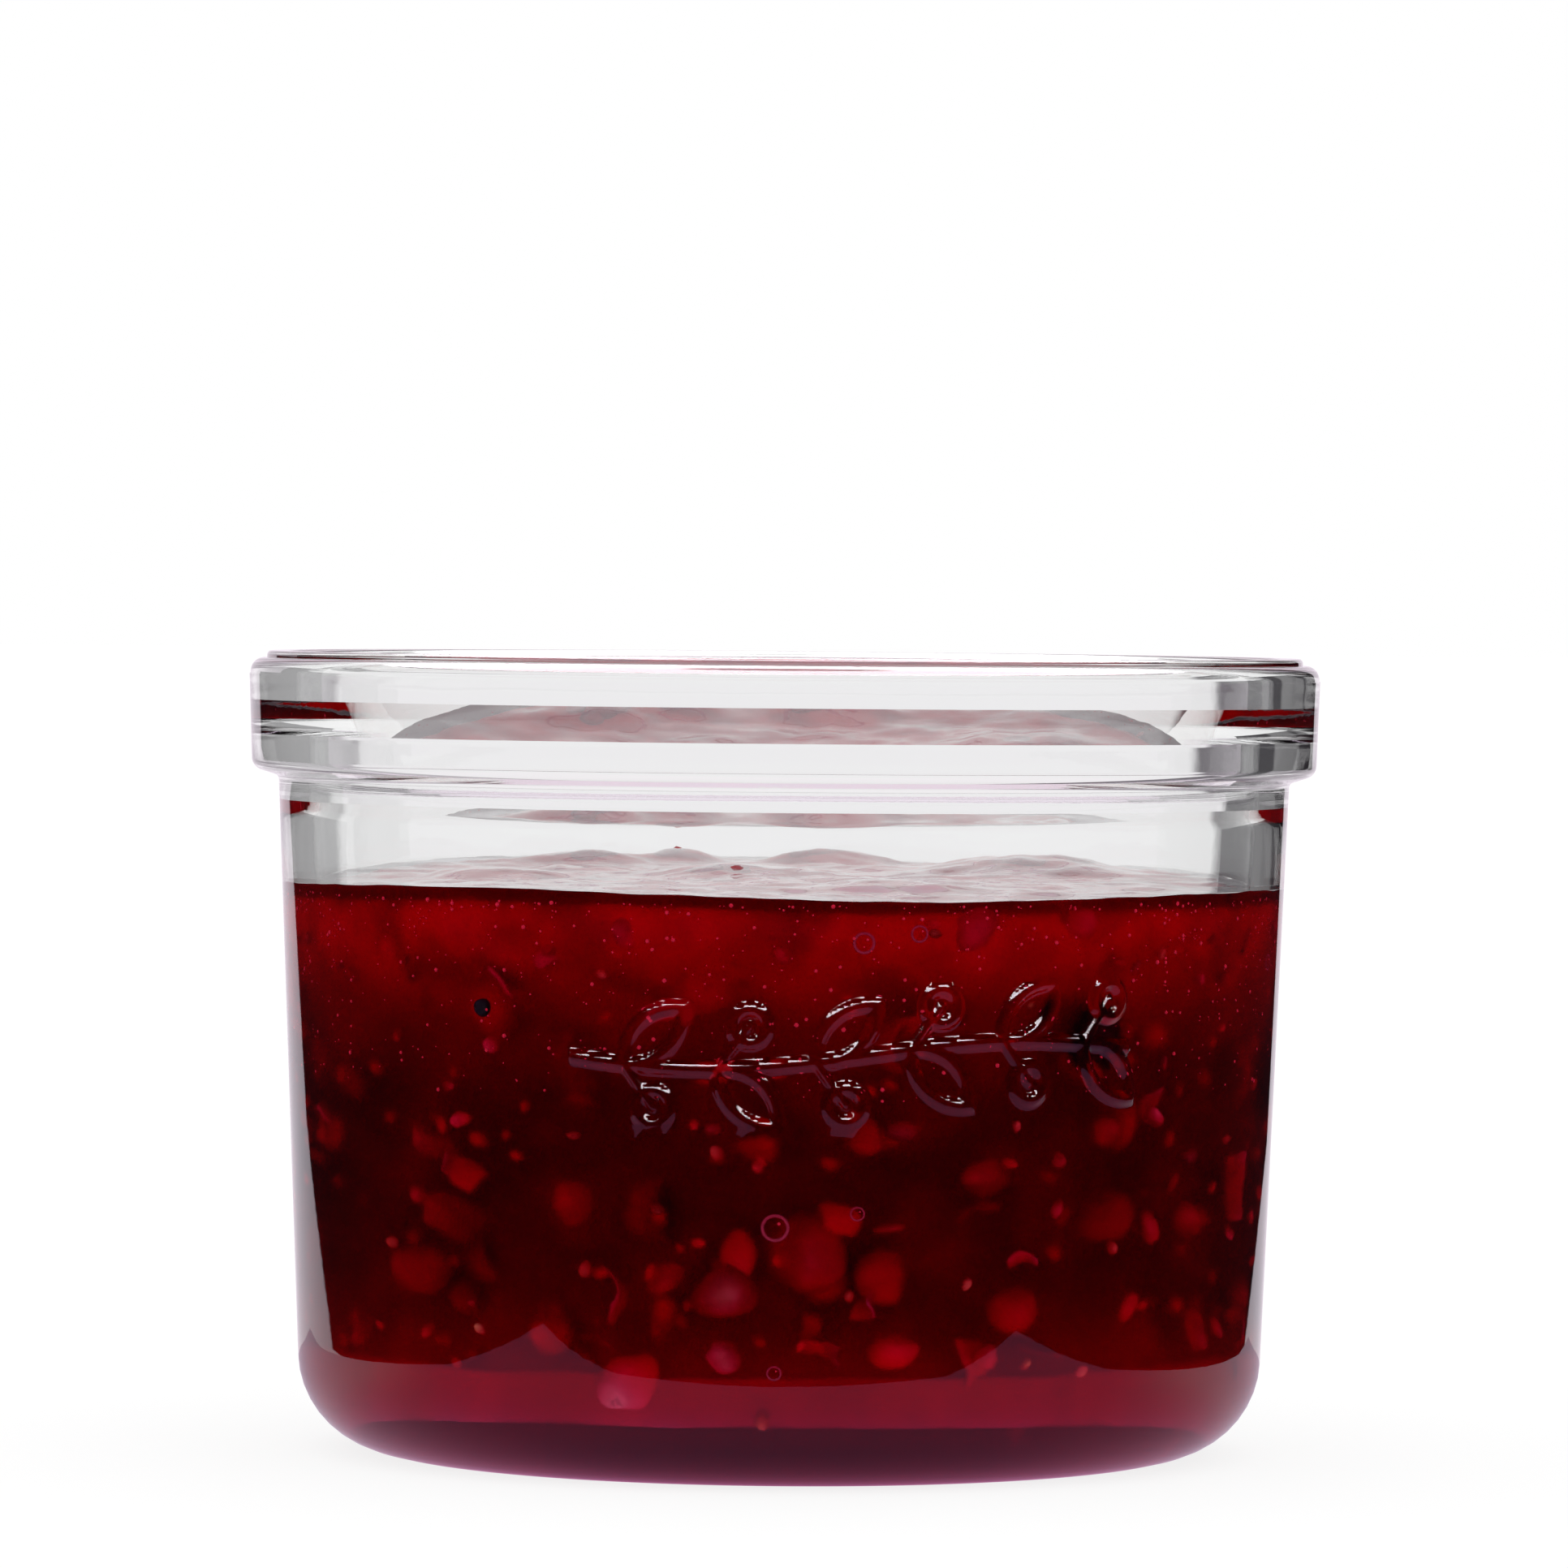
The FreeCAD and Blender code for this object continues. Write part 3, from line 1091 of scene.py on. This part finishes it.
# Larger bubbles against the glass, each drawn as a painted rim with a painted glint: bearing in degrees,
# height and radius in mm
LARGE_BUBBLES = [
    (9.4, 42.3, 0.75),
    (15.9, 43.0, 0.6),
    (-0.6, 20.4, 0.95),
    (9.2, 21.5, 0.5),
    (-0.6, 9.2, 0.5),
    (78, 40.0, 0.6),
    (-120, 30.0, 0.6),
    (150, 42.0, 0.5),
]


class JAMJAR_OT_berry_pieces(bpy.types.Operator):
    """Berry pieces in the clear jelly"""

    bl_idname = "jam_jar.berry_pieces"
    bl_label = "Berry pieces"

    def execute(self, context):
        draw = random.Random(21)
        wall = Wall()
        flesh = berry_flesh("berry_flesh")
        round_places = []
        ragged_places = []
        for bearing, height, depth, radius, shade in FRONT_FRUIT:
            centre = wall.listed(bearing, height, depth + 0.4 * radius)
            size = [radius * draw.uniform(0.8, 1.2) * MM for _ in range(3)]
            chosen = ragged_places if shade > 0.8 else round_places
            chosen.append((centre, any_turn(draw), size, shade))
        highest = wall.level - FRUIT_TOP_GAP
        for _ in range(jam().berry_count):
            radius = (0.5 + 1.5 * draw.random() ** 1.6) * MM
            depth = 1.8 * radius + 5.5 * MM * draw.random() ** 1.5
            centre = wall.draw(draw, FRUIT_LOWEST, highest, depth, crowding=1.25)
            size = [radius * draw.uniform(low, high) for low, high in BERRY_SHAPE]
            chosen = ragged_places if draw.random() < RAGGED_SHARE else round_places
            chosen.append((centre, any_turn(draw), size, 0.1 + 0.9 * draw.random() ** 1.4))
        scatter("round_berry_pieces", berry_template(), round_places, flesh, uneven=0.2)
        scatter("ragged_berry_pieces", chunk_template(), ragged_places, flesh)
        return {"FINISHED"}


class JAMJAR_OT_seeds(bpy.types.Operator):
    """Small seeds all through the jelly"""

    bl_idname = "jam_jar.seeds"
    bl_label = "Seeds"

    def execute(self, context):
        draw = random.Random(5)
        wall = Wall()
        places = []
        for _ in range(jam().seed_count):
            radius = draw.uniform(0.36, 0.62) * MM
            depth = draw.uniform(0.7, 5.5) * MM
            centre = wall.draw(draw, 6 * MM, wall.level - 1 * MM, depth, crowding=1.1)
            places.append((centre, any_turn(draw), (radius,) * 3, draw.uniform(0.1, 1.0)))
        colours = ((0.3, 0.02, 0.01), (0.6, 0.08, 0.03), (0.8, 0.25, 0.12))
        shell = fruit_flesh("seed_shell", *colours, mottle=1500, roughness=0.4)
        scatter("seeds", seed_template(), places, shell, uneven=0.04)
        return {"FINISHED"}


class JAMJAR_OT_skins(bpy.types.Operator):
    """Curled berry skins"""

    bl_idname = "jam_jar.skins"
    bl_label = "Skins"

    def execute(self, context):
        draw = random.Random(13)
        wall = Wall()
        places = []
        for _ in range(jam().skin_count):
            radius = draw.uniform(0.8, 2.2) * MM
            depth = draw.uniform(1.0, 5.0) * MM + radius * 0.6
            centre = wall.draw(draw, FRUIT_LOWEST, wall.level - FRUIT_TOP_GAP, depth)
            places.append((centre, any_turn(draw), (radius,) * 3, draw.uniform(0.0, 0.9)))
        colours = ((0.2, 0.0, 0.03), (0.5, 0.02, 0.08), (0.75, 0.12, 0.3))
        skin = fruit_flesh("berry_skin", *colours, mottle=700, roughness=0.35)
        scatter("berry_skins", skin_template(), places, skin, uneven=0.2)
        return {"FINISHED"}


class JAMJAR_OT_dark_berries(bpy.types.Operator):
    """Whole dark berries"""

    bl_idname = "jam_jar.dark_berries"
    bl_label = "Dark berries"

    def execute(self, context):
        draw = random.Random(8)
        wall = Wall()
        places = []
        for bearing, height, depth, radius in DARK_FRUIT:
            centre = wall.listed(bearing, height, depth + 0.3 * radius)
            size = [radius * draw.uniform(0.85, 1.1) * MM for _ in range(3)]
            places.append((centre, any_turn(draw), size, draw.uniform(0.0, 0.3)))
        colours = ((0.004, 0.003, 0.008), (0.02, 0.008, 0.03), (0.06, 0.02, 0.06))
        scatter("dark_berries", berry_template(), places, fruit_flesh("dark_berry_skin", *colours))
        return {"FINISHED"}


class JAMJAR_OT_bubbles(bpy.types.Operator):
    """Bubbles caught against the glass, drawn as painted glints and painted rims"""

    bl_idname = "jam_jar.bubbles"
    bl_label = "Bubbles"

    def execute(self, context):
        draw = random.Random(34)
        wall = Wall()
        against_glass = -1.3 * jam().wall_overlap
        rings = []
        glints = []
        for degrees, height, radius in LARGE_BUBBLES:
            bearing = degrees * DEGREE
            radius *= MM
            facing_out = Euler((90 * DEGREE, 0, bearing))
            centre = wall.point(bearing, height * MM, 0.2 * MM)
            rings.append((centre, facing_out, (radius,) * 3, 0))
            glint_bearing = bearing + 0.3 * radius / centre.xy.length
            glint = wall.point(glint_bearing, height * MM + 0.35 * radius, against_glass)
            glints.append((glint, any_turn(draw), (0.16 * radius,) * 3, 0))
        for _ in range(jam().bubble_count):
            radius = (0.06 + 0.15 * draw.random() ** 3) * MM
            height = wall.level - 0.7 * MM - 15 * MM * draw.random() ** 1.7
            centre = wall.point(draw.uniform(-math.pi, math.pi), height, against_glass)
            glints.append((centre, any_turn(draw), (radius,) * 3, 0))
        # Painted light: matt red beads and rings stand for the glints and rims of bubbles
        painted_rim_skin = painted_bubble_look("bubble_ring", (0.5, 0.03, 0.09), 0.5, 0.1)
        painted_glint_skin = painted_bubble_look("fine_bubble", (0.95, 0.02, 0.07), 0.6, 0.05)
        scatter("bubble_rings", ring_template(), rings, painted_rim_skin, uneven=0.0)
        scatter("fine_bubbles", ball_template(), glints, painted_glint_skin, uneven=0.0, inside=False)
        return {"FINISHED"}


DRUPES_PER_BERRY = 5


class JAMJAR_OT_surface_berries(bpy.types.Operator):
    """Berries that lie in the surface of the jam"""

    bl_idname = "jam_jar.surface_berries"
    bl_label = "Surface berries"

    def execute(self, context):
        draw = random.Random(55)
        edge = jam_outline(0)[-1].x
        places = []
        fruit_places = surface_fruit_places()
        for x, y, radius, rise in fruit_places:
            for _ in range(DRUPES_PER_BERRY if y > 0 else 0):
                around = draw.uniform(0, math.tau)
                out = radius * 0.55 * math.sqrt(draw.random())
                size = min(radius * draw.uniform(0.16, 0.26), 1.2 * MM)
                drupe_x = x + out * math.cos(around)
                drupe_y = y + out * math.sin(around)
                height = surface_of_jam(drupe_x, drupe_y, edge, fruit_places)
                centre = (drupe_x, drupe_y, height - size * draw.uniform(0.95, 1.5))
                places.append((centre, any_turn(draw), (size,) * 3, draw.uniform(0.1, 0.45)))
        scatter("surface_berries", berry_template(), places, berry_flesh("surface_berry_flesh"))
        return {"FINISHED"}


# ---- studio

FLOOR_WIDTH = 20
PLATE_WIDTH = 158 * MM
PLATE_STRETCH = 1.11
PLATE_LIFT = 0.05 * MM
BACKDROP_WIDTH = 560 * MM
BACKDROP_DISTANCE = 150 * MM
SENSOR_WIDTH = 36


def stage_sheet(name, size, height, material):
    bpy.ops.object.select_all(action="DESELECT")
    bpy.ops.mesh.primitive_plane_add(size=size, location=(0, 0, height))
    sheet = bpy.context.object
    sheet.name = name
    sheet.data.materials.append(material)
    return sheet


def floor_material():
    """Pale matt floor that shows white, with the jar's soft shadow."""
    material, tree = new_material("studio_floor")
    matt = tree.node("ShaderNodeBsdfDiffuse", None, {"Color": studio().floor_colour})
    seen = tree.light_path("Is Camera Ray") + tree.light_path("Is Transmission Ray")
    whiteness = seen * 0.75 + tree.light_path("Is Diffuse Ray") * 0.5
    tree.finish(Surface=tree.mix(whiteness, matt, tree.glow(WHITE, 1.1)))
    return material


def plate_material():
    """Table as the jar mirrors it: tinted by the jam in front, pale at the sides."""
    material, tree = new_material("reflected_table")
    tint = tree.blend(tree.along("Y").rise(-35 * MM, 5 * MM), (0.55, 0.19, 0.4), (0.6, 0.5, 0.62))
    tree.finish(Surface=tree.glow(tint))
    return material


def backdrop_material():
    """Bright sheet behind the jar with darker flags at its sides, as seen through the glass."""
    material, tree = new_material("backdrop")
    aside = tree.along("X")
    right = 0.97 * aside.band(64 * MM, 290 * MM, 6 * MM)
    paler_right = 0.22 * aside.band(100 * MM, 170 * MM, 8 * MM)
    left = 0.55 * aside.band(-290 * MM, -72 * MM, 6 * MM)
    dark = right - paler_right + left
    tree.finish(Surface=tree.glow(tree.blend(dark, (0.9, 0.895, 0.9), (0.03, 0.028, 0.034))))
    return material


def light_room():
    """Even room light, a white background, and darker surroundings for the glass to mirror."""
    world = bpy.data.worlds.new("studio")
    bpy.context.scene.world = world
    tree = Tree(world)
    direction = tree.node("ShaderNodeTexCoord", output="Generated")
    x, y, z = (tree.node("ShaderNodeSeparateXYZ", None, {0: direction}, output=axis) for axis in "XYZ")
    bearing = x.maths("ARCTAN2", x, y)
    elevation = z.maths("ARCSINE", z)
    half = 0.5 * DEGREE
    # The backdrop's edges lean outwards below eye level, where the pale table carries them on.
    below = elevation.at_least(-8 * DEGREE).at_most(-2 * DEGREE)
    lean_left = 3 * below - 4 * (-4.5 * DEGREE - below).at_least(0)
    lean_right = 8 * (-4 * DEGREE - below).at_least(0)
    left_edge = (bearing + 19 * DEGREE - lean_left).rise(-half, half)
    right_edge = (18 * DEGREE - bearing + lean_right).rise(-half, half)
    beside = elevation.rise(0, DEGREE) * (bearing > -42 * DEGREE)
    backdrop = left_edge.at_least(beside) * right_edge * (1 - elevation.rise(50 * DEGREE, 60 * DEGREE))
    overhead = elevation.rise(38 * DEGREE, 44 * DEGREE)
    lamp = elevation.band(40 * DEGREE, 80 * DEGREE, 3 * DEGREE)
    room = tree.blend(backdrop, (0.012, 0.006, 0.009), (0.95, 0.86, 0.95))
    room = tree.blend(overhead, room, WHITE)
    room = tree.blend(lamp, room, (16, 15, 16))
    mirrored = (tree.light_path("Glossy Depth") > 0.5) * (tree.light_path("Transmission Depth") < 0.5)
    shade = tree.blend(mirrored, (0.90, 0.80, 0.90), room)
    shade = tree.blend(tree.light_path("Diffuse Depth") > 0.5, shade, (studio().ambient,) * 3)
    shade = tree.blend(tree.light_path("Is Camera Ray"), shade, WHITE)
    background = tree.node("ShaderNodeBackground", None, {"Color": shade, "Strength": 1.0})
    tree.node("ShaderNodeOutputWorld", None, {"Surface": background})
    world.cycles.sampling_method = "NONE"


def add_camera():
    s = studio()
    bpy.ops.object.camera_add(location=(0, -s.camera_distance, s.camera_height))
    camera = bpy.context.object
    tilt = Matrix.Rotation(90 * DEGREE - s.camera_pitch, 3, "X")
    roll = Matrix.Rotation(s.camera_roll, 3, "Z")
    camera.rotation_euler = (tilt @ roll).to_euler()
    camera.data.lens = s.camera_lens
    camera.data.sensor_width = SENSOR_WIDTH
    camera.data.clip_start = 0.01
    camera.data.clip_end = 100
    bpy.context.scene.camera = camera


class JAMJAR_OT_studio(bpy.types.Operator):
    """Floor, light and camera"""

    bl_idname = "jam_jar.studio"
    bl_label = "Studio"

    def execute(self, context):
        floor = stage_sheet("floor", FLOOR_WIDTH, 0, floor_material())
        floor.visible_glossy = False
        plate = stage_sheet("mirrored_table", PLATE_WIDTH, PLATE_LIFT, plate_material())
        plate.scale.x = PLATE_STRETCH
        backdrop = stage_sheet("backdrop", BACKDROP_WIDTH, 0, backdrop_material())
        backdrop.rotation_euler.x = 90 * DEGREE
        backdrop.location.y = BACKDROP_DISTANCE
        for sheet in (plate, backdrop):
            sheet.visible_camera = False
            sheet.visible_diffuse = False
            sheet.visible_shadow = False
        plate.visible_transmission = False
        backdrop.visible_glossy = False
        light_room()
        add_camera()
        context.scene.view_settings.view_transform = "Standard"
        context.scene.cycles.max_bounces = 14
        context.scene.cycles.transmission_bounces = 14
        context.scene.cycles.glossy_bounces = 8
        context.scene.cycles.transparent_max_bounces = 16
        return {"FINISHED"}


# ---- add-on

STEPS = [
    JAMJAR_OT_glass,
    JAMJAR_OT_jelly,
    JAMJAR_OT_core,
    JAMJAR_OT_berry_pieces,
    JAMJAR_OT_seeds,
    JAMJAR_OT_skins,
    JAMJAR_OT_dark_berries,
    JAMJAR_OT_bubbles,
    JAMJAR_OT_surface_berries,
    JAMJAR_OT_studio,
]


class JAMJAR_PT_panel(bpy.types.Panel):
    """Lists the steps that build the jar"""

    bl_idname = "JAMJAR_PT_panel"
    bl_label = "Jam jar"
    bl_space_type = "VIEW_3D"
    bl_region_type = "UI"
    bl_category = "Jam Jar"

    def draw(self, context):
        for step in STEPS:
            self.layout.operator(step.bl_idname)


SETTINGS = {"jar_sizes": JarSizes, "jam_settings": JamSettings, "studio_settings": StudioSettings}
CLASSES = [*SETTINGS.values(), *STEPS, JAMJAR_PT_panel]


def register():
    for each in CLASSES:
        bpy.utils.register_class(each)
    for name, group in SETTINGS.items():
        setattr(bpy.types.Scene, name, PointerProperty(type=group))


def unregister():
    for name in SETTINGS:
        delattr(bpy.types.Scene, name)
    for each in reversed(CLASSES):
        bpy.utils.unregister_class(each)


def main():
    register()
    for step in STEPS:
        group, name = step.bl_idname.split(".")
        getattr(getattr(bpy.ops, group), name)()


if __name__ == "__main__":
    main()
